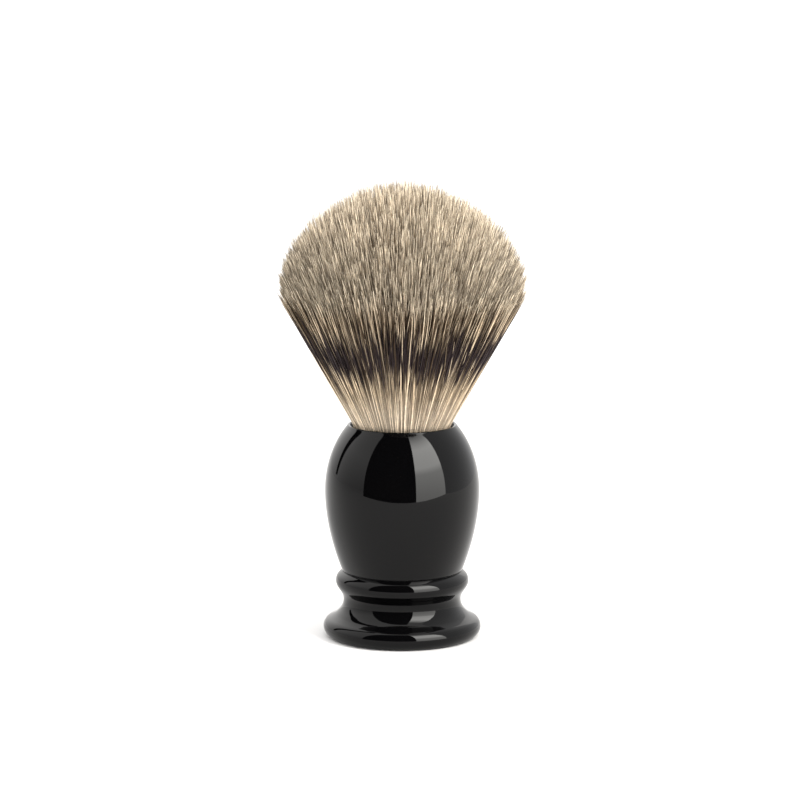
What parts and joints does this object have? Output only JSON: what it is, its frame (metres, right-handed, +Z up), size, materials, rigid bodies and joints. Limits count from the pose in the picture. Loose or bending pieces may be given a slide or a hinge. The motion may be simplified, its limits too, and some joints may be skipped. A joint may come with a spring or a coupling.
{
  "type": "shaving brush",
  "caption": "Shaving brush with a turned egg-shaped handle on a flared foot and a domed knot of three-band hair.",
  "frame": {"origin": "centre of the foot's underside, on the axis that the handle was turned about", "axes": "+Z up along the turning axis, from the foot to the tips of the hair; +X and +Y across, with no preferred side"},
  "size_m": [0.0528, 0.0528, 0.0994],
  "materials": {
    "handle_resin": "polished black",
    "ring_plastic": "moulded black",
    "potting_resin": "cast amber",
    "adhesive": "cured epoxy",
    "twine": "waxed",
    "hair": "three-band badger hair"
  },
  "bodies": {
    "root": {"handle_body": "handle_resin", "knot_ring": "ring_plastic", "potting_plug": "potting_resin", "socket_adhesive": "adhesive", "binding_thread": "twine", "hair_core": "hair", "hair_inner_1": "hair", "hair_inner_2": "hair", "hair_inner_3": "hair", "hair_inner_4": "hair", "hair_inner_5": "hair", "hair_inner_6": "hair", "hair_outer_1": "hair", "hair_outer_2": "hair", "hair_outer_3": "hair", "hair_outer_4": "hair", "hair_outer_5": "hair", "hair_outer_6": "hair", "hair_outer_7": "hair", "hair_outer_8": "hair", "hair_outer_9": "hair", "hair_outer_10": "hair", "hair_outer_11": "hair", "hair_outer_12": "hair"}
  },
  "joints": []
}
